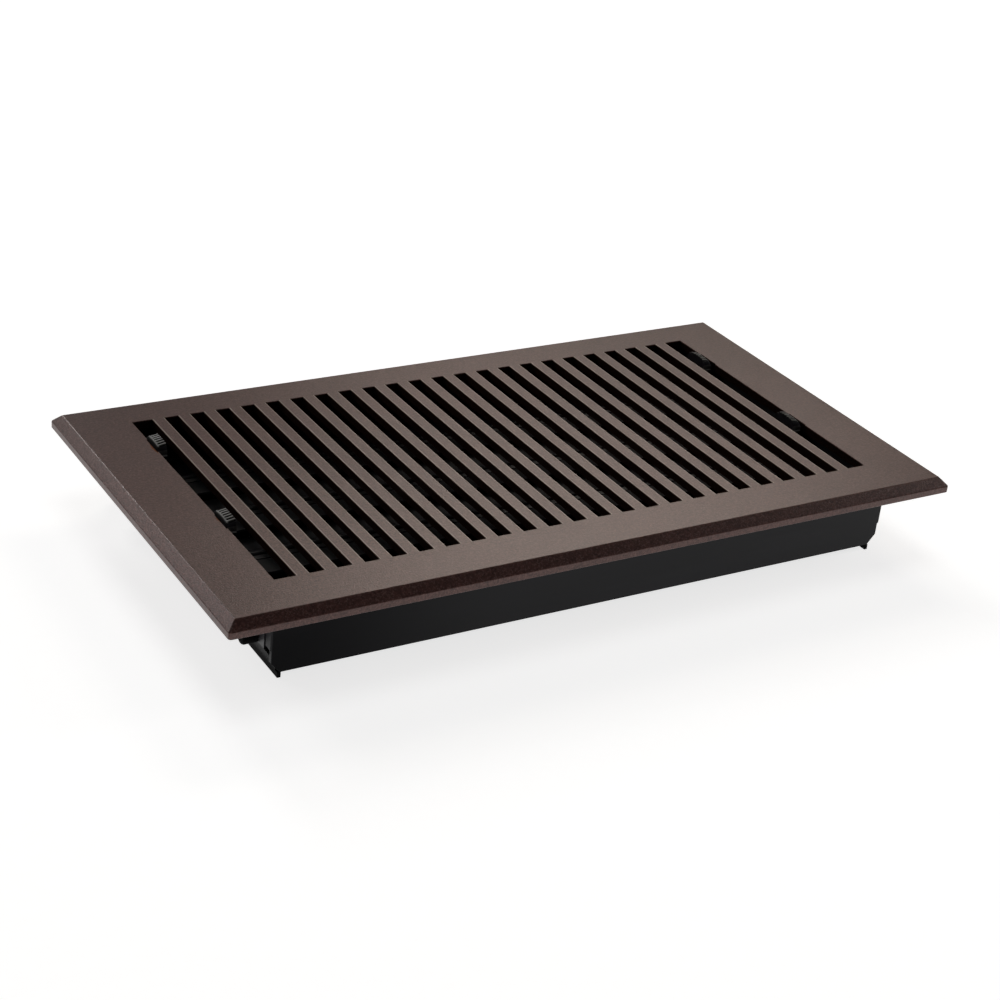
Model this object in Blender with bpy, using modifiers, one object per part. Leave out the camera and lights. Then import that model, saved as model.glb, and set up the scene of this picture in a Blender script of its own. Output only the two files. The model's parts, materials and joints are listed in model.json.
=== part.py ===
"""Louvred floor register: a cast slotted faceplate over a damper box with four linked louvres.

Frame: metres, +X along the length, +Y towards the back, +Z up. The origin is under the middle of
the faceplate, level with the bottom lips of the damper box, on which the register stands.
"""

import math

import bmesh
import bpy
from mathutils import Matrix, Vector

# --- Faceplate -------------------------------------------------------------------------------
TOP_Z = 0.0400            # top face of the faceplate above the bottom lips
PLATE_LENGTH = 0.3670
PLATE_WIDTH = 0.2015
EDGE_SLOPE_OUT = 0.0040   # sloped edge, measured across
EDGE_SLOPE_DOWN = 0.0038  # sloped edge, measured down
RIM_DEPTH = 0.0070        # top face to the underside of the rim
RIM_WALL = 0.0110
PLATE_CORNER_RADIUS = 0.0014
TOP_CORNER_RADIUS = 0.0004
SKIN = 0.0042             # thickness of the bars and of the face
SLOT_PITCH = 0.0127
SLOT_COUNT = 24
SLOT_WIDTH = 0.00692
END_SLOT_WIDTH = 0.0099   # first and last slot, which the thumb levers use
SLOT_LENGTH = 0.1539
SLOT_CENTRE_Y = 0.00245
RELIEF_DEPTH = 0.0006     # shallow relief in the outer side of an end slot, beside each lever
RELIEF_LENGTH = 0.0130
RELIEF_FORWARD = 0.0030

# --- Damper box ------------------------------------------------------------------------------
GAP = 0.0003              # clearance between pieces that touch
BOX_END = 0.1580          # outer face of the end caps
BOX_SIDE = 0.0853         # outer face of the side rails
RAIL_WALL = 0.0020
RAIL_BOTTOM_Z = 0.0028
BOX_TOP_Z = TOP_Z - SKIN - GAP
STEP_Z = 0.0133           # the rail ends step in by STEP_IN below this height
STEP_IN = 0.0006
RAIL_CORNER_Z = 0.0078
RAIL_CORNER_X = 0.1534
CHANNEL_INNER_Y = 0.0809
CHANNEL_BOTTOM_Z = 0.0140
CHANNEL_RIB = 0.0020
LEDGE_INNER_Y = 0.0753
LEDGE_THICKNESS = 0.0016
LEDGE_HALF_LENGTH = 0.1510
FRONT_LEDGE_TOP_Z = 0.0178
BACK_LEDGE_BOTTOM_Z = 0.0182

CAP_WALL = 0.0030
CAP_PANEL_HALF = 0.0793
CAP_HALF = 0.0829
TONGUE_OUTER_X = 0.1562
KNEE_Z = 0.0115
LIP_X = 0.1542
LIP_WALL = 0.0016
LIP_TOP_Z = 0.0025
LIP_HALF = 0.0851

# --- Fixing screws and their ears ------------------------------------------------------------
SCREW_X = 0.1640
SCREW_Y = 0.0500
BOSS_RADIUS = 0.0045
BOSS_BOTTOM_Z = 0.0331
EAR_TOP_Z = BOSS_BOTTOM_Z - GAP
EAR_THICKNESS = 0.0020
EAR_END_X = 0.1695
EAR_HALF_WIDTH = 0.0060
SCREW_RADIUS = 0.0019
SCREW_TOP_Z = 0.0374
SCREW_HEAD_RADIUS = 0.0038
SCREW_HEAD_HEIGHT = 0.0022

# --- Side bumpers ----------------------------------------------------------------------------
BUMPER_Y = 0.0713
BUMPER_Z = 0.0141
BUMPER_RADIUS = 0.0035
BUMPER_END_X = 0.1650
BUMPER_STEM_RADIUS = 0.0014

# --- Louvres, levers and tie bars ------------------------------------------------------------
PIVOT_Z = 0.0180
PIVOT_YS = (0.0570, 0.0190, -0.0190, -0.0570)
LOUVRE_TILT = math.radians(6.0)   # front edge up, as the louvres stand at rest
HALF_CHORD = 0.0194
LOUVRE_HALF_LENGTH = 0.1465
WING_HALF_THICKNESS = 0.0008
SPINDLE_RADIUS = 0.0024
SPINDLE_END_X = 0.1576
SQUARE_END_X = 0.1524
CRANK_RADIUS = 0.0080
CRANK_INNER_X = 0.1490
CRANK_HALF_WIDTH = 0.0027
LEVER_INNER_X = 0.1473
LEVER_OUTER_X = 0.1521
PAD_SIDE_DROP = 0.00085           # the thumb pad falls towards the end of the register
LEVER_HUB_RADIUS = 0.0050
CRANK_PIN_RADIUS = 0.0015
CRANK_PIN_END_X = 0.1547
BAR_INNER_X = 0.1525
BAR_OUTER_X = 0.1543
BAR_HALF_HEIGHT = 0.0028
PAD_FOOT = 0.0228                  # everything on the fin above this height is the ribbed pad
PAD_HALF_LENGTH = 0.0056
PAD_TOP = 0.0234
PAD_CROWN = 0.0005
RIB_COUNT = 6
RIB_HEIGHT = 0.0005

ROUND_SEGMENTS = 32
SMALL_SEGMENTS = 24


def clear_scene():
    for obj in list(bpy.data.objects):
        bpy.data.objects.remove(obj, do_unlink=True)


def new_collection(name, hidden=False):
    collection = bpy.data.collections.new(name)
    bpy.context.scene.collection.children.link(collection)
    collection.hide_render = hidden
    return collection


def material(name, colour, metallic, roughness):
    made = bpy.data.materials.new(name)
    made.use_nodes = True
    shader = made.node_tree.nodes["Principled BSDF"]
    shader.inputs["Base Color"].default_value = (*colour, 1.0)
    shader.inputs["Metallic"].default_value = metallic
    shader.inputs["Roughness"].default_value = roughness
    return made


def axes_of(axis):
    """The rotation that lays a shape's own XY plane across the given world axis."""
    if axis == "X":
        return Matrix(((0, 0, 1, 0), (1, 0, 0, 0), (0, 1, 0, 0), (0, 0, 0, 1)))
    if axis == "Y":
        return Matrix(((1, 0, 0, 0), (0, 0, 1, 0), (0, 1, 0, 0), (0, 0, 0, 1)))
    return Matrix.Identity(4)


def add_box(mesh, x_range, y_range, z_range):
    ranges = (x_range, y_range, z_range)
    middle = Vector([(low + high) / 2 for low, high in ranges])
    sides = [high - low for low, high in ranges]
    placed = Matrix.Translation(middle) @ Matrix.Diagonal((*sides, 1.0))
    return bmesh.ops.create_cube(mesh, size=1.0, matrix=placed)["verts"]


def add_cylinder(mesh, centre, radius, axis, low, high, segments=ROUND_SEGMENTS):
    """A cylinder along a world axis. The centre is given in the two other axes, in order."""
    placed = axes_of(axis) @ Matrix.Translation((centre[0], centre[1], (low + high) / 2))
    bmesh.ops.create_cone(
        mesh,
        cap_ends=True,
        segments=segments,
        radius1=radius,
        radius2=radius,
        depth=high - low,
        matrix=placed,
    )


def add_plate(mesh, outline, axis, low, high):
    """A flat outline given thickness along a world axis, drawn as a filled 2D curve."""
    curve = bpy.data.curves.new("outline", "CURVE")
    curve.dimensions = "2D"
    curve.fill_mode = "BOTH"
    curve.extrude = (high - low) / 2
    spline = curve.splines.new("POLY")
    spline.points.add(len(outline) - 1)
    for point, (first, second) in zip(spline.points, outline):
        point.co = (first, second, 0.0, 1.0)
    spline.use_cyclic_u = True
    holder = bpy.data.objects.new("outline", curve)
    bpy.context.scene.collection.objects.link(holder)
    graph = bpy.context.evaluated_depsgraph_get()
    filled = bpy.data.meshes.new_from_object(holder.evaluated_get(graph))
    filled.transform(axes_of(axis) @ Matrix.Translation((0, 0, (low + high) / 2)))
    mesh.from_mesh(filled)
    bmesh.ops.remove_doubles(mesh, verts=mesh.verts, dist=0.000002)
    bpy.data.meshes.remove(filled)
    bpy.data.objects.remove(holder, do_unlink=True)
    bpy.data.curves.remove(curve)


def solid(name, build, collection, origin=(0, 0, 0), surface=None):
    """An object shaped by the build function, with its own origin at the given point."""
    mesh = bmesh.new()
    build(mesh)
    bmesh.ops.recalc_face_normals(mesh, faces=mesh.faces)
    bmesh.ops.translate(mesh, verts=mesh.verts, vec=-Vector(origin))
    data = bpy.data.meshes.new(name)
    mesh.to_mesh(data)
    mesh.free()
    obj = bpy.data.objects.new(name, data)
    obj.location = origin
    collection.objects.link(obj)
    if surface:
        data.materials.append(surface)
        data.shade_smooth()
        data.set_sharp_from_angle(angle=math.radians(30))
    return obj


def turned(name, profile, collection, surface, place):
    """A turned solid. The profile runs down the outer side, as radius and height, about local Z."""
    data = bpy.data.meshes.new(name)
    edges = [(i, i + 1) for i in range(len(profile) - 1)]
    data.from_pydata([(radius, 0.0, height) for radius, height in profile], edges, [])
    data.materials.append(surface)
    obj = bpy.data.objects.new(name, data)
    obj.matrix_world = place
    collection.objects.link(obj)
    turn = obj.modifiers.new("turn", "SCREW")
    turn.axis = "Z"
    turn.steps = SMALL_SEGMENTS
    turn.render_steps = SMALL_SEGMENTS
    turn.use_merge_vertices = True
    turn.merge_threshold = 0.00001
    turn.use_smooth_shade = True
    return obj


def combine(target, operation, name, build, helpers):
    """Joins or cuts the target with a helper solid, by an exact Boolean."""
    helper = solid(name, build, helpers)
    helper.hide_render = True
    helper.display_type = "WIRE"
    modifier = target.modifiers.new(name, "BOOLEAN")
    modifier.operation = operation
    modifier.solver = "EXACT"
    modifier.object = helper


def attach(child, parent):
    """Lets the child ride with the parent and stay where it is."""
    bpy.context.view_layer.update()
    child.parent = parent
    child.matrix_parent_inverse = parent.matrix_world.inverted()


def slot_ranges():
    """The X range of every slot, from the left end to the right end."""
    ranges = []
    for i in range(SLOT_COUNT):
        centre = (i - (SLOT_COUNT - 1) / 2) * SLOT_PITCH
        ranges.append([centre - SLOT_WIDTH / 2, centre + SLOT_WIDTH / 2])
    ranges[0][0] = ranges[0][1] - END_SLOT_WIDTH
    ranges[-1][1] = ranges[-1][0] + END_SLOT_WIDTH
    return ranges


def build_faceplate(parts, helpers, surface):
    half_x = PLATE_LENGTH / 2
    half_y = PLATE_WIDTH / 2
    rim_z = TOP_Z - RIM_DEPTH
    slope_z = TOP_Z - EDGE_SLOPE_DOWN

    def inset(value, half):
        """Where a corner vertex of the side wall comes to lie on the top face."""
        along = (abs(value) - half + PLATE_CORNER_RADIUS) / PLATE_CORNER_RADIUS
        start = half - EDGE_SLOPE_OUT - TOP_CORNER_RADIUS
        return math.copysign(start + along * TOP_CORNER_RADIUS, value)

    def blank(mesh):
        add_box(mesh, (-half_x, half_x), (-half_y, half_y), (rim_z, slope_z))
        corners = [e for e in mesh.edges if abs(e.verts[0].co.z - e.verts[1].co.z) > 0.001]
        radius = PLATE_CORNER_RADIUS
        bmesh.ops.bevel(
            mesh, geom=corners, offset=radius, segments=3, profile=0.5, affect="EDGES"
        )
        top = max(mesh.faces, key=lambda face: face.calc_center_median().z)
        raised = bmesh.ops.extrude_discrete_faces(mesh, faces=[top])["faces"][0]
        for vert in raised.verts:
            vert.co = (inset(vert.co.x, half_x), inset(vert.co.y, half_y), TOP_Z)

    def pocket(mesh):
        pocket_x = half_x - RIM_WALL
        pocket_y = half_y - RIM_WALL
        add_box(mesh, (-pocket_x, pocket_x), (-pocket_y, pocket_y), (rim_z - 0.01, TOP_Z - SKIN))

    def bosses(mesh):
        for x in (-SCREW_X, SCREW_X):
            for y in (-SCREW_Y, SCREW_Y):
                boss_top = TOP_Z - SKIN + 0.001
                add_cylinder(mesh, (x, y), BOSS_RADIUS, "Z", BOSS_BOTTOM_Z, boss_top)

    def screw_holes(mesh):
        for x in (-SCREW_X, SCREW_X):
            for y in (-SCREW_Y, SCREW_Y):
                add_cylinder(mesh, (x, y), SCREW_RADIUS + GAP, "Z", 0.03, SCREW_TOP_Z + GAP)

    def slots(mesh):
        ends = (SLOT_CENTRE_Y - SLOT_LENGTH / 2, SLOT_CENTRE_Y + SLOT_LENGTH / 2)
        for x_range in slot_ranges():
            add_box(mesh, x_range, ends, (rim_z - 0.01, TOP_Z + 0.01))

    def reliefs(mesh):
        outer = slot_ranges()[-1][1]
        for side in (-1, 1):
            for pivot_y in (PIVOT_YS[0], PIVOT_YS[2]):
                middle = pivot_y - RELIEF_FORWARD
                x_range = sorted((side * (outer - 0.002), side * (outer + RELIEF_DEPTH)))
                y_range = (middle - RELIEF_LENGTH / 2, middle + RELIEF_LENGTH / 2)
                add_box(mesh, x_range, y_range, (rim_z - 0.01, TOP_Z + 0.01))

    plate = solid("faceplate", blank, parts, surface=surface)
    combine(plate, "DIFFERENCE", "faceplate_pocket", pocket, helpers)
    combine(plate, "UNION", "faceplate_bosses", bosses, helpers)
    combine(plate, "DIFFERENCE", "faceplate_screw_holes", screw_holes, helpers)
    combine(plate, "DIFFERENCE", "faceplate_slots", slots, helpers)
    combine(plate, "DIFFERENCE", "faceplate_reliefs", reliefs, helpers)


def build_side_rail(name, side, parts, helpers, surface):
    """A long wall of the box, with a channel at each end for the end cap and a stop ledge inside."""
    outer = side * BOX_SIDE
    inner = side * (BOX_SIDE - RAIL_WALL)
    step_x = BOX_END - STEP_IN
    right_side = [
        (RAIL_CORNER_X, RAIL_BOTTOM_Z),
        (step_x, RAIL_CORNER_Z),
        (step_x, STEP_Z),
        (BOX_END, STEP_Z + STEP_IN),
        (BOX_END, BOX_TOP_Z),
    ]
    outline = right_side + [(-x, z) for x, z in reversed(right_side)]
    if side > 0:
        ledge_z = (BACK_LEDGE_BOTTOM_Z, BACK_LEDGE_BOTTOM_Z + LEDGE_THICKNESS)
    else:
        ledge_z = (FRONT_LEDGE_TOP_Z - LEDGE_THICKNESS, FRONT_LEDGE_TOP_Z)

    def wall(mesh):
        add_plate(mesh, outline, "Y", min(outer, inner), max(outer, inner))

    def ledge(mesh):
        y_range = sorted((side * LEDGE_INNER_Y, side * (BOX_SIDE - RAIL_WALL / 2)))
        add_box(mesh, (-LEDGE_HALF_LENGTH, LEDGE_HALF_LENGTH), y_range, ledge_z)

    def channels(mesh):
        y_range = sorted((side * CHANNEL_INNER_Y, side * (BOX_SIDE - RAIL_WALL / 2)))
        lip = (TONGUE_OUTER_X + GAP, BOX_END)
        rib = (BOX_END - CAP_WALL - CHANNEL_RIB - GAP, BOX_END - CAP_WALL - GAP)
        for low, high in (lip, rib):
            for x_range in ((low, high), (-high, -low)):
                add_box(mesh, x_range, y_range, (CHANNEL_BOTTOM_Z, BOX_TOP_Z))

    rail = solid(name, wall, parts, surface=surface)
    combine(rail, "UNION", name + "_ledge", ledge, helpers)
    combine(rail, "UNION", name + "_channels", channels, helpers)
    return rail


def build_end_cap(name, side, parts, helpers, surface):
    """An end wall: an upright panel that leans in below the knee and ends in a lip."""
    cap_inner = BOX_END - CAP_WALL
    lip_inner = LIP_X - LIP_WALL
    lower = [
        (BOX_END, KNEE_Z),
        (LIP_X, 0.0035),
        (LIP_X, 0.0),
        (lip_inner, 0.0),
        (lip_inner, 0.0045),
        (cap_inner, KNEE_Z - 0.0003),
    ]
    panel_outline = [(BOX_END, BOX_TOP_Z)] + lower + [(cap_inner, BOX_TOP_Z)]

    def mirrored(outline):
        return [(side * x, z) for x, z in outline]

    def panel(mesh):
        add_plate(mesh, mirrored(panel_outline), "Y", -CAP_PANEL_HALF, CAP_PANEL_HALF)

    def skirt(mesh):
        add_plate(mesh, mirrored(lower), "Y", -CAP_HALF, CAP_HALF)

    def tongue(mesh):
        x_range = sorted((side * cap_inner, side * TONGUE_OUTER_X))
        add_box(mesh, x_range, (-CAP_HALF, CAP_HALF), (KNEE_Z - 0.002, BOX_TOP_Z))

    def lip(mesh):
        x_range = sorted((side * lip_inner, side * LIP_X))
        add_box(mesh, x_range, (-LIP_HALF, LIP_HALF), (0.0, LIP_TOP_Z))

    def ears(mesh):
        x_range = sorted((side * (BOX_END - 0.0015), side * EAR_END_X))
        for y in (-SCREW_Y, SCREW_Y):
            y_range = (y - EAR_HALF_WIDTH, y + EAR_HALF_WIDTH)
            add_box(mesh, x_range, y_range, (EAR_TOP_Z - EAR_THICKNESS, EAR_TOP_Z))

    def holes(mesh):
        low, high = sorted((side * (cap_inner - 0.01), side * (BOX_END + 0.01)))
        for pivot_y in PIVOT_YS:
            add_cylinder(mesh, (pivot_y, PIVOT_Z), SPINDLE_RADIUS + GAP, "X", low, high)
        for y in (-BUMPER_Y, BUMPER_Y):
            add_cylinder(mesh, (y, BUMPER_Z), BUMPER_STEM_RADIUS + GAP, "X", low, high)
        for y in (-SCREW_Y, SCREW_Y):
            add_cylinder(mesh, (side * SCREW_X, y), SCREW_RADIUS + 0.0005, "Z", 0.025, 0.04)

    cap = solid(name, panel, parts, surface=surface)
    combine(cap, "UNION", name + "_skirt", skirt, helpers)
    combine(cap, "UNION", name + "_tongue", tongue, helpers)
    combine(cap, "UNION", name + "_lip", lip, helpers)
    combine(cap, "UNION", name + "_ears", ears, helpers)
    combine(cap, "DIFFERENCE", name + "_holes", holes, helpers)
    return cap


def louvre_outline(pivot_y):
    """The section of a louvre across its length, tipped to its rest angle."""
    t = WING_HALF_THICKNESS
    c = HALF_CHORD
    upper = [
        (c, 0.0002),
        (c - 0.0005, t),
        (0.0055, t),
        (0.0052, t - 0.0005),
        (0.0049, t + 0.0002),
        (0.0030, t + 0.0005),
        (0.0, t + 0.0007),
    ]
    top = upper + [(-y, z) for y, z in reversed(upper[:-1])]
    bottom = [(-(c - 0.0004), -t), (-0.0054, -t), (-0.0026, -0.0024)]
    bottom = bottom + [(-y, z) for y, z in reversed(bottom)]
    turn = Matrix.Rotation(-LOUVRE_TILT, 2)
    tipped = []
    for y, z in top + bottom:
        spot = turn @ Vector((y, z))
        tipped.append((pivot_y + spot.x, PIVOT_Z + spot.y))
    return tipped


def crank_outline(pivot_y):
    """An upright arm with a round head, from below the spindle to the crank pin."""
    foot_z = PIVOT_Z - 0.0030
    head_z = PIVOT_Z + CRANK_RADIUS
    outline = [(pivot_y + CRANK_HALF_WIDTH, foot_z)]
    for i in range(ROUND_SEGMENTS // 2 + 1):
        angle = 2 * math.pi * i / ROUND_SEGMENTS
        spot_y = pivot_y + CRANK_HALF_WIDTH * math.cos(angle)
        outline.append((spot_y, head_z + CRANK_HALF_WIDTH * math.sin(angle)))
    outline.append((pivot_y - CRANK_HALF_WIDTH, foot_z))
    return outline


def build_louvre(number, parts, helpers, surface):
    pivot_y = PIVOT_YS[number - 1]
    name = f"louvre_{number}"
    carries_levers = number in (1, 3)

    def blade(mesh):
        outline = louvre_outline(pivot_y)
        add_plate(mesh, outline, "X", -LOUVRE_HALF_LENGTH, LOUVRE_HALF_LENGTH)

    def spindle(mesh):
        centre = (pivot_y, PIVOT_Z)
        add_cylinder(mesh, centre, SPINDLE_RADIUS, "X", -SPINDLE_END_X, SPINDLE_END_X)

    def squares(mesh):
        half = SPINDLE_RADIUS
        y_range = (pivot_y - half, pivot_y + half)
        for side in (-1, 1):
            x_range = sorted((side * (LOUVRE_HALF_LENGTH - 0.002), side * SQUARE_END_X))
            add_box(mesh, x_range, y_range, (PIVOT_Z - half, PIVOT_Z + half))

    def cranks(mesh):
        for side in (-1, 1):
            low, high = sorted((side * CRANK_INNER_X, side * LEVER_OUTER_X))
            add_plate(mesh, crank_outline(pivot_y), "X", low, high)

    def crank_pins(mesh):
        centre = (pivot_y, PIVOT_Z + CRANK_RADIUS)
        for side in (-1, 1):
            low, high = sorted((side * (LEVER_OUTER_X - 0.001), side * CRANK_PIN_END_X))
            add_cylinder(mesh, centre, CRANK_PIN_RADIUS, "X", low, high)

    louvre = solid(name, blade, parts, (0, pivot_y, PIVOT_Z), surface)
    combine(louvre, "UNION", name + "_spindle", spindle, helpers)
    if carries_levers:
        combine(louvre, "UNION", name + "_squares", squares, helpers)
    else:
        combine(louvre, "UNION", name + "_cranks", cranks, helpers)
        combine(louvre, "UNION", name + "_crank_pins", crank_pins, helpers)
    return louvre


def pad_top_line():
    """The ribbed, slightly arched top of a thumb pad, from front to back."""
    points = []
    pitch = 2 * PAD_HALF_LENGTH / RIB_COUNT
    for i in range(RIB_COUNT):
        start = -PAD_HALF_LENGTH + i * pitch
        for share, raised in ((0.02, 0), (0.22, 1), (0.62, 1), (0.82, 0)):
            y = start + share * pitch
            arch = PAD_CROWN * (1 - (y / PAD_HALF_LENGTH) ** 2)
            points.append((y, PAD_TOP + arch - RIB_HEIGHT * (1 - raised)))
    return points


def build_lever(name, side, pivot_y, parts, helpers, surface):
    """A thumb lever: an upright fin with a ribbed pad, set on the square end of a louvre."""
    fin = pad_top_line() + [
        (0.0062, 0.0226),
        (0.0080, 0.0202),
        (0.0080, 0.0175),
        (0.0048, 0.0040),
        (0.0048, -0.0015),
        (-0.0048, -0.0015),
        (-0.0048, 0.0060),
        (-0.0072, 0.0150),
        (-0.0072, 0.0200),
        (-0.0060, 0.0225),
    ]
    outline = [(pivot_y + y, PIVOT_Z + z) for y, z in fin]
    low, high = sorted((side * LEVER_INNER_X, side * LEVER_OUTER_X))
    pin_low, pin_high = sorted((side * (LEVER_OUTER_X - 0.001), side * CRANK_PIN_END_X))

    def body(mesh):
        add_plate(mesh, outline, "X", low, high)
        for vert in mesh.verts:
            if vert.co.z > PIVOT_Z + PAD_FOOT and side * vert.co.x > LEVER_OUTER_X - 0.0001:
                vert.co.z -= PAD_SIDE_DROP

    def hub(mesh):
        add_cylinder(mesh, (pivot_y, PIVOT_Z), LEVER_HUB_RADIUS, "X", low, high)

    def socket(mesh):
        half = SPINDLE_RADIUS + GAP
        y_range = (pivot_y - half, pivot_y + half)
        add_box(mesh, (low - 0.01, high + 0.01), y_range, (PIVOT_Z - half, PIVOT_Z + half))

    def pin(mesh):
        centre = (pivot_y, PIVOT_Z + CRANK_RADIUS)
        add_cylinder(mesh, centre, CRANK_PIN_RADIUS, "X", pin_low, pin_high)

    lever = solid(name, body, parts, (0, pivot_y, PIVOT_Z), surface)
    combine(lever, "UNION", name + "_hub", hub, helpers)
    combine(lever, "DIFFERENCE", name + "_socket", socket, helpers)
    combine(lever, "UNION", name + "_pin", pin, helpers)
    return lever


def build_tie_bar(name, side, back_y, front_y, parts, helpers, surface):
    """A link between the crank pins of two louvres, so that they turn together."""
    pin_z = PIVOT_Z + CRANK_RADIUS
    low, high = sorted((side * BAR_INNER_X, side * BAR_OUTER_X))
    steps = ROUND_SEGMENTS // 2
    outline = []
    for centre_y, start in ((back_y, -90), (front_y, 90)):
        for i in range(steps + 1):
            angle = math.radians(start + 180 * i / steps)
            spot_y = centre_y + BAR_HALF_HEIGHT * math.cos(angle)
            outline.append((spot_y, pin_z + BAR_HALF_HEIGHT * math.sin(angle)))

    def bar(mesh):
        add_plate(mesh, outline, "X", low, high)

    def holes(mesh):
        for y in (back_y, front_y):
            radius = CRANK_PIN_RADIUS + GAP
            add_cylinder(mesh, (y, pin_z), radius, "X", low - 0.01, high + 0.01)

    tie_bar = solid(name, bar, parts, (0, back_y, pin_z), surface)
    combine(tie_bar, "DIFFERENCE", name + "_holes", holes, helpers)
    return tie_bar


def build_bumper(name, side, y, parts, surface):
    """A rubber button on an end cap, held by a stem through the wall."""
    rounding = 0.0010
    head_foot = GAP
    head_end = BUMPER_END_X - BOX_END
    profile = [
        (0.0, head_end),
        (BUMPER_RADIUS - rounding, head_end),
        (BUMPER_RADIUS - rounding * 0.35, head_end - rounding * 0.3),
        (BUMPER_RADIUS, head_end - rounding),
        (BUMPER_RADIUS, head_foot),
        (BUMPER_STEM_RADIUS, head_foot),
        (BUMPER_STEM_RADIUS, -CAP_WALL - 0.0008),
        (0.0, -CAP_WALL - 0.0008),
    ]
    outward = Matrix.Rotation(math.radians(90 * side), 4, "Y")
    place = Matrix.Translation((side * BOX_END, y, BUMPER_Z)) @ outward
    return turned(name, profile, parts, surface, place)


def build_screw(name, x, y, parts, helpers, surface):
    """A pan-head screw that goes up through an ear of the end cap into the faceplate."""
    head_top = EAR_TOP_Z - EAR_THICKNESS - GAP
    head_bottom = head_top - SCREW_HEAD_HEIGHT
    profile = [
        (0.0, SCREW_TOP_Z),
        (SCREW_RADIUS, SCREW_TOP_Z),
        (SCREW_RADIUS, head_top),
        (SCREW_HEAD_RADIUS, head_top),
        (SCREW_HEAD_RADIUS, head_bottom + 0.0008),
        (SCREW_HEAD_RADIUS - 0.0005, head_bottom + 0.0002),
        (SCREW_HEAD_RADIUS - 0.0012, head_bottom),
        (0.0, head_bottom),
    ]

    def drive(mesh):
        z_range = (head_bottom - 0.001, head_bottom + 0.0011)
        arm = 0.0019
        tip = 0.0003
        root = 0.00055
        corner = [(tip, arm), (root, root), (arm, tip)]
        outline = corner + [(px, -py) for px, py in reversed(corner)]
        outline = outline + [(-px, -py) for px, py in outline]
        add_plate(mesh, [(x + px, y + py) for px, py in outline], "Z", *z_range)

    screw = turned(name, profile, parts, surface, Matrix.Translation((x, y, 0)))
    combine(screw, "DIFFERENCE", name + "_drive", drive, helpers)
    return screw


def main():
    clear_scene()
    parts = new_collection("louvred_floor_register")
    helpers = new_collection("register_cutters", hidden=True)

    bronze = material("bronze_powder_coat", (0.135, 0.105, 0.095), 0.25, 0.55)
    box_black = material("box_black_plastic", (0.018, 0.018, 0.020), 0.0, 0.50)
    cap_black = material("end_cap_black_plastic", (0.022, 0.022, 0.024), 0.0, 0.45)
    louvre_black = material("louvre_black_plastic", (0.030, 0.030, 0.032), 0.0, 0.55)
    lever_grey = material("lever_grey_plastic", (0.060, 0.063, 0.058), 0.0, 0.60)
    bar_black = material("tie_bar_black_plastic", (0.020, 0.020, 0.021), 0.0, 0.60)
    rubber = material("bumper_rubber", (0.006, 0.006, 0.006), 0.0, 0.85)
    steel = material("screw_zinc_steel", (0.55, 0.55, 0.53), 1.0, 0.35)

    build_faceplate(parts, helpers, bronze)
    build_side_rail("side_rail_front", -1, parts, helpers, box_black)
    build_side_rail("side_rail_back", 1, parts, helpers, box_black)
    louvres = [build_louvre(number, parts, helpers, louvre_black) for number in range(1, 5)]
    for side, end in ((-1, "left"), (1, "right")):
        build_end_cap(f"end_cap_{end}", side, parts, helpers, cap_black)
        for bank, first in (("back", 0), ("front", 2)):
            ends = PIVOT_YS[first], PIVOT_YS[first + 1]
            lever_name = f"thumb_lever_{bank}_{end}"
            lever = build_lever(lever_name, side, ends[0], parts, helpers, lever_grey)
            bar_name = f"tie_bar_{bank}_{end}"
            tie_bar = build_tie_bar(bar_name, side, *ends, parts, helpers, bar_black)
            attach(lever, louvres[first])
            attach(tie_bar, louvres[first])
        for corner, sign in (("back", 1), ("front", -1)):
            bumper_name = f"bumper_{corner}_{end}"
            build_bumper(bumper_name, side, sign * BUMPER_Y, parts, rubber)
            screw_name = f"screw_{corner}_{end}"
            build_screw(screw_name, side * SCREW_X, sign * SCREW_Y, parts, helpers, steel)


main()
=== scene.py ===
"""Looks of the louvred floor register: a powder-coated slotted faceplate over a black damper box.

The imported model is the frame. Each visible piece is rebuilt here with softened edges and a
procedural finish, and rides on the body of the CAD node that it stands for. Units are metres.
"""

import json
import math

import bmesh
import bpy
from mathutils import Euler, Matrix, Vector

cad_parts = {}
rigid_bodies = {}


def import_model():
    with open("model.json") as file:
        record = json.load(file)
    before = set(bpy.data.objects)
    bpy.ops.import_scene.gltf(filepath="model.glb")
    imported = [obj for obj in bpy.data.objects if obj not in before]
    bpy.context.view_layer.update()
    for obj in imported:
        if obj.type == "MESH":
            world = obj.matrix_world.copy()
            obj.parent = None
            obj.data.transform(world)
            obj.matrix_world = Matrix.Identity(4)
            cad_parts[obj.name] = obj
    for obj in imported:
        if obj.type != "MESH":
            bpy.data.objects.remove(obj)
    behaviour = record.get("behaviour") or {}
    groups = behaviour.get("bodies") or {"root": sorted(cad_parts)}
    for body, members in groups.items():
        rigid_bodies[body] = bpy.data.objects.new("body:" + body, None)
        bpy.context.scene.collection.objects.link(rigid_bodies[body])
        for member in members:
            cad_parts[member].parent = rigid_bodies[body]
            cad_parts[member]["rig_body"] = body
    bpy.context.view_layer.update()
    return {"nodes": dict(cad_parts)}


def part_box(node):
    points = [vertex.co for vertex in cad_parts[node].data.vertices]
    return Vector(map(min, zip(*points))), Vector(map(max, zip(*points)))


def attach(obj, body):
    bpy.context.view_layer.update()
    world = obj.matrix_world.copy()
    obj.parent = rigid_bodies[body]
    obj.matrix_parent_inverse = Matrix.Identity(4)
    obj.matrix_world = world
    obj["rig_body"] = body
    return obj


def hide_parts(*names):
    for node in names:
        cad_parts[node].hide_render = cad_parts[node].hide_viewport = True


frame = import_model()

CAMERA_PLACE = (-0.48054, -0.74013, 0.46446)
CAMERA_TURN_DEG = (62.717, -5.366, -30.194)
CAMERA_LENS_MM = 76.15
FLOOR_GLOW = 0.76

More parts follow.
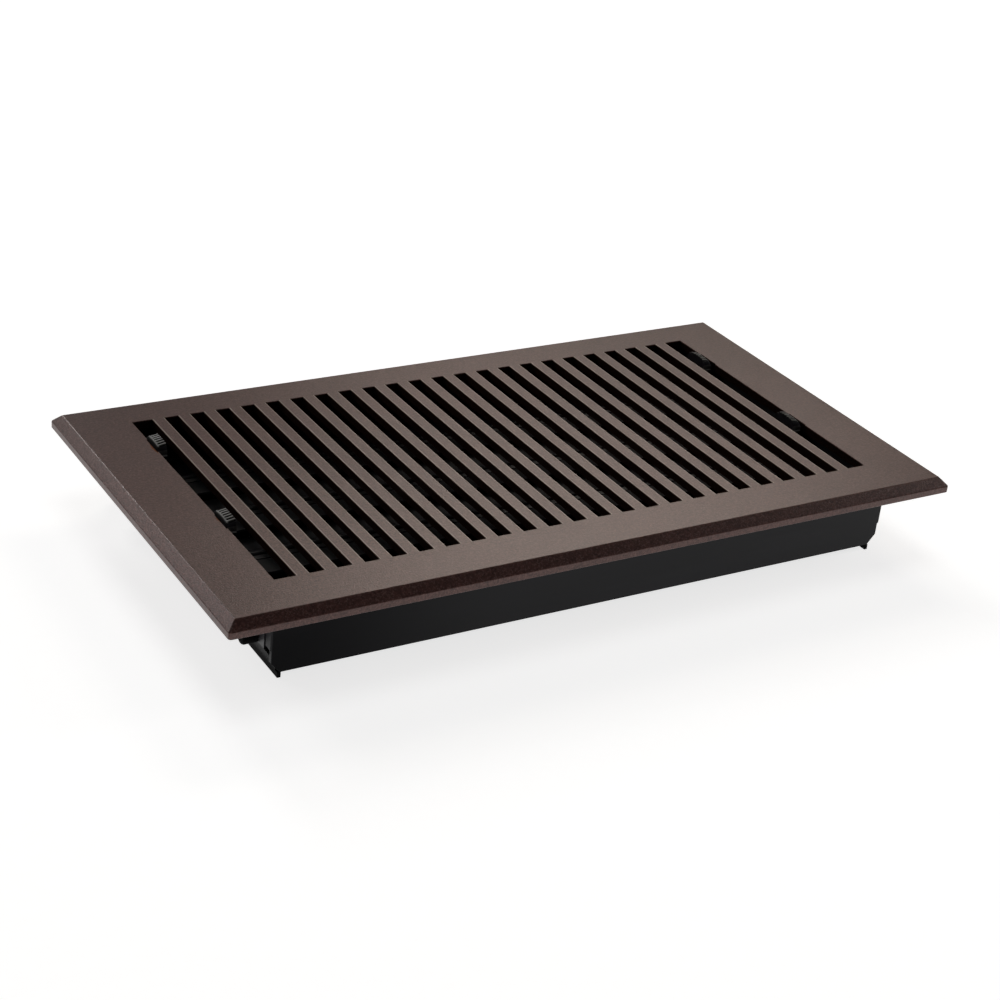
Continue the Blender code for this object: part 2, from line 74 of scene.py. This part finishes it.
TOP_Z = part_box("faceplate")[1].z
SLOT_PITCH = 0.0127
SLOT_MIDDLE_Y = 0.00245
SLOT_HALF_LENGTH = 0.07695
SLOT_FIELD_END = 0.15245       # outer side of the end slots, which have the thumb levers
BAR_HALF = 0.00289             # half the width of a bar between two slots
LONG_BEVEL_Y = 0.0966          # the bevels along the long sides start here
BEVEL_DROP = 0.0038            # height of the bevels
OUTSIDE_X = 0.178              # past here, the faceplate's edges are those of its outside
OUTSIDE_Y = 0.0955
RAIL_FACE_X = -0.1571          # past here is the end face of a rail
CAP_KNEE_Z = 0.0115            # the end caps slant inwards below this height
PIVOT_Z = 0.0180
LEVER_PIVOT_YS = {"back": 0.0570, "front": -0.0190}
LEVER_INNER_X = 0.1473
LEVER_OUTER_X = 0.1521
PAD_BASE_Z = 0.0222            # the ribbed pad is above this height over the lever's pivot
PAD_CREST_Z = 0.0239
PAD_ARCH = 0.0005
PAD_SIDE_DROP = 0.00085
PAD_REACH = 0.0056
RIB_COUNT = 6
RIB_PITCH = 2 * PAD_REACH / RIB_COUNT
GROOVE_SINK = 0.0004           # the grooves of a pad are made this much deeper
SHOULDER = 0.0021              # radius of the rounded outer edge of a thumb pad
SHOULDER_CUTS = 5
# Where the levers rub the coat off the relief beside them: X, Y and reach.
WORN_PLACES = ((-0.1532, 0.0515, 0.0012), (-0.1532, -0.0200, 0.0007))


# --- Materials -------------------------------------------------------------------------------
class Surface:
    """A material on object coordinates, built up node by node."""

    def __init__(self, name, colour, roughness, metallic=0.0, specular=0.5):
        self.material = bpy.data.materials.new(name)
        self.material.use_nodes = True
        self.tree = self.material.node_tree
        self.shader = self.tree.nodes["Principled BSDF"]
        self.shader.inputs["Base Color"].default_value = (*colour, 1.0)
        self.shader.inputs["Roughness"].default_value = roughness
        self.shader.inputs["Metallic"].default_value = metallic
        self.shader.inputs["Specular IOR Level"].default_value = specular
        self.place = self.tree.nodes.new("ShaderNodeTexCoord").outputs["Object"]
        self.normal = None

    def node(self, kind, **settings):
        made = self.tree.nodes.new(kind)
        for key, value in settings.items():
            setattr(made, key, value)
        return made

    def link(self, source, target):
        self.tree.links.new(source, target)

    def noise(self, scale, detail=3.0, roughness=0.6, stretch=(1, 1, 1)):
        """Noise with its features about 1 / scale metres apart, drawn out along an axis by stretch."""
        mapping = self.node("ShaderNodeMapping")
        mapping.inputs["Scale"].default_value = stretch
        self.link(self.place, mapping.inputs["Vector"])
        made = self.node("ShaderNodeTexNoise")
        made.inputs["Scale"].default_value = scale
        made.inputs["Detail"].default_value = detail
        made.inputs["Roughness"].default_value = roughness
        self.link(mapping.outputs["Vector"], made.inputs["Vector"])
        return made.outputs["Fac"]

    def grains(self, scale):
        """Cells about 1 / scale metres across, dark in the middle and light at their borders."""
        made = self.node("ShaderNodeTexVoronoi")
        made.inputs["Scale"].default_value = scale
        self.link(self.place, made.inputs["Vector"])
        return made.outputs["Distance"]

    def ramp(self, value, stops):
        """Colours by value, from a list of (value, colour) stops."""
        made = self.node("ShaderNodeValToRGB")
        elements = made.color_ramp.elements
        while len(elements) < len(stops):
            elements.new(0.5)
        for element, (position, colour) in zip(elements, stops):
            element.position = position
            element.color = (*colour, 1.0)
        self.link(value, made.inputs["Fac"])
        return made.outputs["Color"]

    def mix(self, factor, first, second, blend="MIX"):
        made = self.node("ShaderNodeMix", data_type="RGBA", blend_type=blend)
        for socket, value in ((0, factor), (6, first), (7, second)):
            if isinstance(value, (int, float)):
                made.inputs[socket].default_value = value
            elif isinstance(value, tuple):
                made.inputs[socket].default_value = (*value, 1.0)
            else:
                self.link(value, made.inputs[socket])
        return made.outputs[2]

    def math(self, operation, *values):
        made = self.node("ShaderNodeMath", operation=operation)
        for socket, value in zip(made.inputs, values):
            if isinstance(value, (int, float)):
                socket.default_value = value
            else:
                self.link(value, socket)
        return made.outputs[0]

    def axes(self):
        """The X, Y and Z of the place on the piece, in metres."""
        made = self.node("ShaderNodeSeparateXYZ")
        self.link(self.place, made.inputs[0])
        return made.outputs[0], made.outputs[1], made.outputs[2]

    def step(self, value, low, high):
        """Zero up to low, one from high, and smooth between them."""
        made = self.node("ShaderNodeMapRange", interpolation_type="SMOOTHSTEP")
        made.inputs["From Min"].default_value = low
        made.inputs["From Max"].default_value = high
        self.link(value, made.inputs["Value"])
        return made.outputs["Result"]

    def times(self, *values):
        """The product of masks and numbers."""
        product = values[0]
        for value in values[1:]:
            product = self.math("MULTIPLY", product, value)
        return product

    def colour(self, value):
        self.link(value, self.shader.inputs["Base Color"])

    def roughness(self, value, low, high):
        """Roughness from low to high as the value goes from 0 to 1."""
        made = self.node("ShaderNodeMapRange")
        made.inputs["To Min"].default_value = low
        made.inputs["To Max"].default_value = high
        self.link(value, made.inputs["Value"])
        self.link(made.outputs["Result"], self.shader.inputs["Roughness"])

    def bump(self, height, distance, strength):
        """A relief of the given depth in metres, on top of the bumps made before it."""
        made = self.node("ShaderNodeBump")
        made.inputs["Strength"].default_value = strength
        made.inputs["Distance"].default_value = distance
        self.link(height, made.inputs["Height"])
        if self.normal is not None:
            self.link(self.normal, made.inputs["Normal"])
        self.normal = made.outputs["Normal"]
        self.link(self.normal, self.shader.inputs["Normal"])


def powder_coat():
    """Bronze powder coat on cast metal: a sandy grain, painted highlights and glints, painted shade in
    the slots, on the bevels and towards the back right, and slots that shine less.
    """
    made = Surface("bronze_powder_coat", (0.10, 0.052, 0.046), 0.42, 0.2)
    grain = made.noise(1250, 2.0, 0.75)
    sand = made.grains(1500)
    peel = made.noise(260, 2.0, 0.5)
    cloud = made.noise(14, 3.0, 0.55)
    x, y, z = made.axes()
    along = made.math("ABSOLUTE", x)
    across = made.math("ABSOLUTE", made.math("SUBTRACT", y, SLOT_MIDDLE_Y))
    in_field = made.times(
        made.math("LESS_THAN", along, SLOT_FIELD_END + 0.0008),
        made.math("LESS_THAN", across, SLOT_HALF_LENGTH + 0.0004),
    )
    below_top = made.math("SUBTRACT", TOP_Z, z)
    wall = made.times(in_field, made.step(below_top, 0.0002, 0.0008))

    # Painted highlights: the coat is painted lighter along the upper edges of the bars and of the rim.
    from_bar_middle = made.math("PINGPONG", x, SLOT_PITCH / 2)
    painted_edge_highlight = made.times(
        made.step(from_bar_middle, BAR_HALF - 0.0006, BAR_HALF - 0.0003),
        made.math("LESS_THAN", along, SLOT_FIELD_END),
        made.math("LESS_THAN", across, SLOT_HALF_LENGTH),
        made.step(made.math("SUBTRACT", 0.0006, below_top), 0.0, 0.0005),
    )

    tone = made.ramp(
        grain,
        [
            (0.34, (0.050, 0.021, 0.018)),
            (0.52, (0.082, 0.037, 0.031)),
            (0.68, (0.130, 0.066, 0.056)),
        ],
    )
    broad = made.ramp(cloud, [(0.35, (0.92, 0.90, 0.90)), (0.65, (1.06, 1.05, 1.04))])
    patches = made.noise(720, 1.0, 0.5)
    mottle = made.ramp(patches, [(0.34, (0.80, 0.77, 0.75)), (0.66, (1.24, 1.22, 1.20))])
    coat = made.mix(1.0, made.mix(1.0, tone, broad, "MULTIPLY"), mottle, "MULTIPLY")

    # Painted shade: the coat is a little darker and warmer towards the back right corner, where its sheen
    # is weaker.
    painted_shade_back_right = made.times(made.step(x, 0.02, 0.18), made.step(y, -0.09, 0.06))
    coat = made.mix(painted_shade_back_right, coat, made.mix(1.0, coat, (0.80, 0.72, 0.66), "MULTIPLY"))
    # The painted highlight along the upper edges of the bars.
    coat = made.mix(painted_edge_highlight, coat, (0.27, 0.205, 0.175))

    # Painted shade: the coat is darker on the long bevels, and painted glints make its grains stand out
    # there as light specks.
    bevel = made.times(
        made.math("GREATER_THAN", made.math("ABSOLUTE", y), LONG_BEVEL_Y),
        made.step(below_top, 0.0002, 0.0005),
        made.math("SUBTRACT", 1.0, made.step(below_top, BEVEL_DROP - 0.0004, BEVEL_DROP)),
    )
    painted_glint_specks = made.times(bevel, made.step(made.noise(1400, 1.0, 0.5), 0.54, 0.66), 0.60)
    coat = made.mix(bevel, coat, made.mix(1.0, coat, (0.70, 0.62, 0.62), "MULTIPLY"))
    coat = made.mix(painted_glint_specks, coat, (0.150, 0.088, 0.078))
    # Painted shade: the coat on the slot walls below the top face is darkened.
    coat = made.mix(wall, coat, made.mix(1.0, coat, (0.22, 0.18, 0.15), "MULTIPLY"))

    # Ragged orange-brown patches where the levers rub, and neither they nor the slot walls shine.
    worn = 0.0
    for side, middle, reach in WORN_PLACES:
        away = made.math(
            "ADD",
            made.math("ABSOLUTE", made.math("SUBTRACT", x, side)),
            made.math("MULTIPLY", made.math("ABSOLUTE", made.math("SUBTRACT", y, middle)), 0.16),
        )
        ragged = made.math("MULTIPLY_ADD", grain, 0.0012, made.math("SUBTRACT", away, 0.0006))
        here = made.math("SUBTRACT", 1.0, made.step(ragged, reach * 0.6, reach))
        worn = made.math("MAXIMUM", worn, here)
    coat = made.mix(worn, coat, (0.15, 0.040, 0.012))
    made.colour(coat)
    made.roughness(grain, 0.25, 0.47)
    matt = made.math("MAXIMUM", wall, worn)
    made.link(
        made.math("MULTIPLY_ADD", matt, -0.44, 0.5), made.shader.inputs["Specular IOR Level"]
    )
    made.link(made.math("MULTIPLY_ADD", matt, -0.2, 0.2), made.shader.inputs["Metallic"])
    made.bump(peel, 0.00005, 0.55)
    made.bump(sand, 0.00006, 0.35)
    made.bump(grain, 0.00009, 0.7)
    return made.material


def moulded_black(name, colour, roughness, specular, texture=0.5, painted_lighting=None, shine=(0, 0)):
    """Injection-moulded black plastic with a fine spark-eroded texture and faint flow lines."""
    made = Surface(name, colour, roughness, specular=specular)
    fine = made.noise(2600, 2.0, 0.7)
    flow = made.noise(22, 3.0, 0.6, (0.35, 1.0, 2.4))
    light = tuple(min(1.0, c * 1.45 + 0.001) for c in colour)
    dark = tuple(c * 0.72 for c in colour)
    tone = made.ramp(flow, [(0.30, dark), (0.55, colour), (0.78, light)])
    # Painted light: where its mask is set, the plastic is painted lighter and given more shine.
    if painted_lighting:
        painted_light_mask = painted_lighting(made)
        tone = made.mix(painted_light_mask, tone, made.mix(1.0, tone, (2.6, 2.5, 2.7), "MULTIPLY"))
        level = made.math("MULTIPLY_ADD", painted_light_mask, shine[1] - shine[0], shine[0])
        made.link(level, made.shader.inputs["Specular IOR Level"])
    made.colour(tone)
    made.roughness(flow, roughness - 0.07, roughness + 0.09)
    made.bump(flow, 0.00018, 0.25)
    made.bump(fine, 0.00003, texture)
    return made.material


def rail_painted_reflection(made):
    """Painted reflection on a rail: dim near its left end, lighter and shinier towards its middle and on
    to its right end, and full on its left end face.
    """
    along = made.axes()[0]
    end_face = made.math("LESS_THAN", along, RAIL_FACE_X)
    middle = made.math("MULTIPLY_ADD", made.step(along, -0.16, -0.04), 0.72, 0.28)
    return made.math("MAXIMUM", middle, end_face)


def cap_painted_light(made):
    """Painted light: the upright wall of an end cap is painted lighter and shinier than its slanted band,
    which stays darker as painted shade.
    """
    return made.step(made.axes()[2], CAP_KNEE_Z - 0.0003, CAP_KNEE_Z + 0.0007)


def lever_grey():
    """Dark grey plastic, with painted highlights on the upward faces of the ribs, the rounded outer edge
    and the lip, and darker grooves between the ribs.
    """
    made = Surface("lever_grey_plastic", (0.030, 0.030, 0.030), 0.5, specular=0.35)
    fine = made.noise(2200, 2.0, 0.7)
    lever_mottle = made.noise(420, 3.0, 0.65)
    x, y, z = made.axes()
    front_y, back_y = LEVER_PIVOT_YS["front"], LEVER_PIVOT_YS["back"]
    at_back = made.math("GREATER_THAN", y, (front_y + back_y) / 2)
    y = made.math("SUBTRACT", y, made.math("MULTIPLY_ADD", at_back, back_y - front_y, front_y))
    z = made.math("SUBTRACT", z, PIVOT_Z)
    reach = made.math("ABSOLUTE", y)
    facing = made.node("ShaderNodeSeparateXYZ")
    made.link(made.node("ShaderNodeTexCoord").outputs["Normal"], facing.inputs[0])
    on_pad = made.times(
        made.step(z, 0.0206, 0.0214),
        made.math("LESS_THAN", reach, PAD_REACH + 0.0003),
        made.step(facing.outputs[2], 0.15, 0.35),
    )
    share = made.math("FRACT", made.math("MULTIPLY_ADD", y, 1 / RIB_PITCH, RIB_COUNT / 2))
    from_rib = made.math("ABSOLUTE", made.math("SUBTRACT", share, 0.42))
    rib = made.math("SUBTRACT", 1.0, made.step(from_rib, 0.18, 0.34))
    out = made.math("ABSOLUTE", x)
    edge = made.step(out, LEVER_OUTER_X - 0.0016, LEVER_OUTER_X - 0.0014)
    inside = made.math("SUBTRACT", 1.0, made.step(out, LEVER_OUTER_X - 0.0011, LEVER_OUTER_X - 0.0007))
    # Painted highlights on the upward faces of the ribs and of the rounded outer edge of the pad.
    light = made.times(on_pad, made.math("MAXIMUM", rib, edge), inside)
    # A painted highlight along the top of the lip in front.
    lip = made.times(made.math("LESS_THAN", y, -0.0068), made.step(z, 0.0180, 0.0184), 0.45)
    light = made.math("MAXIMUM", light, lip)
    plain = made.ramp(
        lever_mottle, [(0.32, (0.015, 0.014, 0.016)), (0.55, (0.023, 0.021, 0.025)), (0.75, (0.032, 0.029, 0.035))]
    )
    # The grooves of the pad are darker.
    dark_grooves = made.mix(on_pad, plain, (0.008, 0.008, 0.008))
    highlight_tone = made.ramp(
        lever_mottle, [(0.32, (0.088, 0.086, 0.080)), (0.55, (0.126, 0.123, 0.115)), (0.75, (0.172, 0.168, 0.158))]
    )
    made.colour(made.mix(light, dark_grooves, highlight_tone))
    made.roughness(lever_mottle, 0.36, 0.58)
    made.link(made.math("MULTIPLY_ADD", light, 0.35, 0.15), made.shader.inputs["Specular IOR Level"])
    made.bump(fine, 0.00003, 0.5)
    return made.material


def rubber():
    """Dull black rubber with a fine grain."""
    made = Surface("bumper_rubber", (0.0025, 0.0025, 0.0025), 0.8, specular=0.04)
    fine = made.noise(1500, 3.0, 0.7)
    made.colour(made.ramp(fine, [(0.3, (0.0018, 0.0018, 0.0018)), (0.7, (0.0040, 0.0040, 0.0040))]))
    made.roughness(fine, 0.70, 0.92)
    made.bump(fine, 0.00004, 0.5)
    return made.material


def zinc_steel():
    """Zinc-plated steel, a little cloudy."""
    made = Surface("screw_zinc_steel", (0.56, 0.55, 0.52), 0.35, 1.0)
    grain = made.noise(900, 3.0, 0.6)
    cloudy = [(0.3, (0.42, 0.41, 0.38)), (0.6, (0.58, 0.57, 0.54)), (0.8, (0.68, 0.66, 0.60))]
    made.colour(made.ramp(grain, cloudy))
    made.roughness(grain, 0.26, 0.46)
    made.bump(grain, 0.00002, 0.4)
    return made.material


MATERIALS = {
    "bronze_powder_coat": powder_coat(),
    "box_black_plastic": moulded_black(
        "box_black_plastic", (0.0026, 0.0026, 0.0030), 0.42, 0.1, painted_lighting=rail_painted_reflection, shine=(0.0, 0.17)
    ),
    "end_cap_black_plastic": moulded_black(
        "end_cap_black_plastic", (0.0050, 0.0049, 0.0053), 0.42, 0.1, painted_lighting=cap_painted_light, shine=(0.01, 0.48)
    ),
    "louvre_black_plastic": moulded_black(
        "louvre_black_plastic", (0.0050, 0.0046, 0.0060), 0.36, 0.09
    ),
    "lever_grey_plastic": lever_grey(),
    "tie_bar_black_plastic": moulded_black("tie_bar_black_plastic", (0.0090, 0.0090, 0.0098), 0.50, 0.20),
    "bumper_rubber": rubber(),
    "screw_zinc_steel": zinc_steel(),
}


# --- Pieces ----------------------------------------------------------------------------------
def softened(node, name, slot, width, segments=2, shape=None):
    """A detailed piece in a CAD node's place: its flat faces made whole and its edges rounded."""
    source = frame["nodes"][node]
    mesh = bmesh.new()
    mesh.from_mesh(source.data)
    bmesh.ops.remove_doubles(mesh, verts=mesh.verts, dist=0.000001)
    bmesh.ops.dissolve_limit(
        mesh, angle_limit=math.radians(0.5), verts=mesh.verts, edges=mesh.edges
    )
    if shape:
        shape(mesh)
    for face in mesh.faces:
        face.smooth = True
    data = bpy.data.meshes.new(name)
    mesh.to_mesh(data)
    mesh.free()
    data.materials.append(MATERIALS[slot])
    obj = bpy.data.objects.new(name, data)
    bpy.context.scene.collection.objects.link(obj)
    rounding = obj.modifiers.new("rounding", "BEVEL")
    rounding.width = width
    rounding.segments = segments
    if "bevel_weight_edge" in data.attributes:
        rounding.limit_method = "WEIGHT"
    else:
        rounding.limit_method = "ANGLE"
        rounding.angle_limit = math.radians(28)
    rounding.use_clamp_overlap = True
    weighting = obj.modifiers.new("flat_faces", "WEIGHTED_NORMAL")
    weighting.weight = 100
    weighting.keep_sharp = False
    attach(obj, source["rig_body"])
    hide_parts(node)
    return obj


def shape_lever(side, pivot_y):
    """Rounds the outer edge of the ribbed pad, deepens its grooves and adds the lip in front."""

    def shape(mesh):
        for k in range(1, SHOULDER_CUTS + 1):
            place = Vector((side * (LEVER_OUTER_X - SHOULDER * k / SHOULDER_CUTS), 0, 0))
            everything = list(mesh.verts) + list(mesh.edges) + list(mesh.faces)
            bmesh.ops.bisect_plane(
                mesh, geom=everything, dist=0.0000005, plane_co=place, plane_no=(1, 0, 0)
            )
        for vert in mesh.verts:
            y = vert.co.y - pivot_y
            z = vert.co.z - PIVOT_Z
            if z < PAD_BASE_Z - PAD_SIDE_DROP:
                continue
            crest = PAD_CREST_Z - PAD_ARCH * (y / PAD_REACH) ** 2
            past = max(0.0, side * vert.co.x - (LEVER_OUTER_X - SHOULDER))
            slope = (side * vert.co.x - LEVER_INNER_X) / (LEVER_OUTER_X - LEVER_INNER_X)
            fall = PAD_SIDE_DROP * max(0.0, slope)
            in_groove = abs(y) < PAD_REACH and z + fall < crest - 0.00025
            if in_groove and past > SHOULDER * 0.35:
                vert.co.z += crest - fall - z
            elif in_groove:
                vert.co.z -= GROOVE_SINK
            vert.co.z -= SHOULDER - math.sqrt(max(0.0, SHOULDER**2 - past**2))
        # The lip's section, in Y and Z from the pivot.
        lip = ((-0.0064, 0.0192), (-0.0080, 0.0184), (-0.0080, 0.0172), (-0.0064, 0.0166))
        low, high = sorted((side * (LEVER_INNER_X + 0.0003), side * (LEVER_OUTER_X - 0.0006)))
        near = [mesh.verts.new((low, pivot_y + y, PIVOT_Z + z)) for y, z in lip]
        far = [mesh.verts.new((high, pivot_y + y, PIVOT_Z + z)) for y, z in lip]
        mesh.faces.new(near)
        mesh.faces.new(far[::-1])
        for k in range(len(lip)):
            after = (k + 1) % len(lip)
            mesh.faces.new((near[k], far[k], far[after], near[after]))
        bmesh.ops.recalc_face_normals(mesh, faces=mesh.faces)

    return shape


def weigh_faceplate(mesh):
    """A full rounding on the outer edges of the casting and a small one everywhere else."""
    weight = mesh.edges.layers.float.new("bevel_weight_edge")
    for edge in mesh.edges:
        if len(edge.link_faces) == 2 and edge.calc_face_angle() > math.radians(28):
            middle = (edge.verts[0].co + edge.verts[1].co) / 2
            outside = abs(middle.x) > OUTSIDE_X or abs(middle.y) > OUTSIDE_Y
            edge[weight] = 1.0 if outside else 0.4


softened("faceplate", "faceplate_casting", "bronze_powder_coat", 0.00075, 3, weigh_faceplate)
for end in ("front", "back"):
    softened(f"side_rail_{end}", f"rail_moulding_{end}", "box_black_plastic", 0.00030)
for end in ("left", "right"):
    softened(f"end_cap_{end}", f"end_cap_moulding_{end}", "end_cap_black_plastic", 0.00025)
    for bank in ("front", "back"):
        softened(
            f"thumb_lever_{bank}_{end}",
            f"lever_moulding_{bank}_{end}",
            "lever_grey_plastic",
            0.00010,
            shape=shape_lever(1 if end == "right" else -1, LEVER_PIVOT_YS[bank]),
        )
        softened(
            f"tie_bar_{bank}_{end}",
            f"tie_bar_moulding_{bank}_{end}",
            "tie_bar_black_plastic",
            0.00020,
        )
        softened(f"bumper_{bank}_{end}", f"bumper_button_{bank}_{end}", "bumper_rubber", 0.00020)
        softened(f"screw_{bank}_{end}", f"screw_turned_{bank}_{end}", "screw_zinc_steel", 0.00010)
for number in range(1, 5):
    softened(f"louvre_{number}", f"louvre_moulding_{number}", "louvre_black_plastic", 0.00015)


# --- Floor, light and camera -----------------------------------------------------------------
def floor_material():
    """White paper on a softly lit table."""
    made = Surface("floor_paper", (0.62, 0.62, 0.62), 0.9, specular=0.1)
    fibre = made.noise(180, 3.0, 0.6)
    made.colour(made.ramp(fibre, [(0.3, (0.61, 0.61, 0.61)), (0.7, (0.63, 0.63, 0.63))]))
    made.shader.inputs["Emission Color"].default_value = (1.0, 1.0, 1.0, 1.0)
    made.shader.inputs["Emission Strength"].default_value = FLOOR_GLOW
    return made.material


def add_floor():
    """A floor so wide that its far edge stays out of low views."""
    mesh = bmesh.new()
    bmesh.ops.create_grid(mesh, x_segments=8, y_segments=8, size=40.0)
    data = bpy.data.meshes.new("studio_floor")
    mesh.to_mesh(data)
    mesh.free()
    data.materials.append(floor_material())
    floor = bpy.data.objects.new("studio_floor", data)
    bpy.context.scene.collection.objects.link(floor)


def add_sun(name, azimuth, elevation, spread, strength, colour):
    """A far light. Azimuth 0 shines from behind the register, and positive is from its right."""
    light = bpy.data.lights.new(name, "SUN")
    light.energy = strength
    light.color = colour
    light.angle = math.radians(spread)
    lamp = bpy.data.objects.new(name, light)
    a = math.radians(azimuth)
    e = math.radians(elevation)
    towards = Vector((math.sin(a) * math.cos(e), math.cos(a) * math.cos(e), math.sin(e)))
    lamp.rotation_euler = towards.to_track_quat("Z", "Y").to_euler()
    bpy.context.scene.collection.objects.link(lamp)


def add_panel(name, azimuth, elevation, distance, sides, power, colour):
    """A softbox that faces the register. Azimuth 0 is behind it, and positive is to its right."""
    light = bpy.data.lights.new(name, "AREA")
    light.shape = "RECTANGLE"
    light.size, light.size_y = sides
    light.energy = power
    light.color = colour
    lamp = bpy.data.objects.new(name, light)
    a = math.radians(azimuth)
    e = math.radians(elevation)
    towards = Vector((math.sin(a) * math.cos(e), math.cos(a) * math.cos(e), math.sin(e)))
    lamp.location = towards * distance
    lamp.rotation_euler = towards.to_track_quat("Z", "Y").to_euler()
    bpy.context.scene.collection.objects.link(lamp)


def add_camera():
    camera = bpy.data.cameras.new("camera")
    camera.lens = CAMERA_LENS_MM
    camera.sensor_width = 36.0
    camera.clip_start = 0.05
    camera.clip_end = 50.0
    obj = bpy.data.objects.new("camera", camera)
    obj.location = CAMERA_PLACE
    obj.rotation_euler = Euler([math.radians(a) for a in CAMERA_TURN_DEG], "XYZ")
    bpy.context.scene.collection.objects.link(obj)
    bpy.context.scene.camera = obj


def set_world():
    """A faint even light from all round."""
    world = bpy.data.worlds.new("studio")
    world.use_nodes = True
    back = world.node_tree.nodes["Background"]
    back.inputs["Color"].default_value = (1.0, 1.0, 1.0, 1.0)
    back.inputs["Strength"].default_value = 0.03
    bpy.context.scene.world = world


def add_painted_shade_sheet():
    """A painted shade sheet: a dark sheet inside the damper box's walls, just above the floor, in place
    of the shade within the box.
    """
    rail_wall = 0.003
    low_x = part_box("end_cap_left")[1].x
    high_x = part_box("end_cap_right")[0].x
    low_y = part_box("side_rail_front")[0].y + rail_wall
    high_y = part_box("side_rail_back")[1].y - rail_wall
    mesh = bmesh.new()
    bmesh.ops.create_grid(mesh, x_segments=4, y_segments=4, size=0.5)
    for vert in mesh.verts:
        vert.co.x = (low_x + high_x) / 2 + vert.co.x * (high_x - low_x)
        vert.co.y = (low_y + high_y) / 2 + vert.co.y * (high_y - low_y)
        vert.co.z = 0.0006
    data = bpy.data.meshes.new("painted_shade_sheet")
    mesh.to_mesh(data)
    mesh.free()
    dark = Surface("painted_shade_black", (0.004, 0.004, 0.004), 1.0, specular=0.0)
    painted_lighting = dark.noise(60)
    dark.colour(dark.ramp(painted_lighting, [(0.3, (0.003, 0.003, 0.003)), (0.7, (0.006, 0.006, 0.006))]))
    data.materials.append(dark.material)
    obj = bpy.data.objects.new("painted_shade_sheet", data)
    bpy.context.scene.collection.objects.link(obj)


add_floor()
add_painted_shade_sheet()
set_world()
add_sun("light_low", 4, 25, 14, 0.62, (1.0, 0.99, 0.97))
add_sun("light_above", 20, 78, 30, 0.40, (1.0, 0.99, 0.98))
add_panel("panel_behind", 38, 35.5, 1.9, (0.75, 0.25), 5.9, (1.0, 0.94, 0.85))
add_panel("panel_left", -34, 29, 2.4, (0.9, 0.35), 8.3, (1.0, 0.985, 0.975))
add_panel("panel_right", 104, 30, 1.2, (0.25, 0.25), 1.35, (1.0, 0.96, 0.93))
add_camera()
bpy.context.scene.view_settings.view_transform = "Standard"
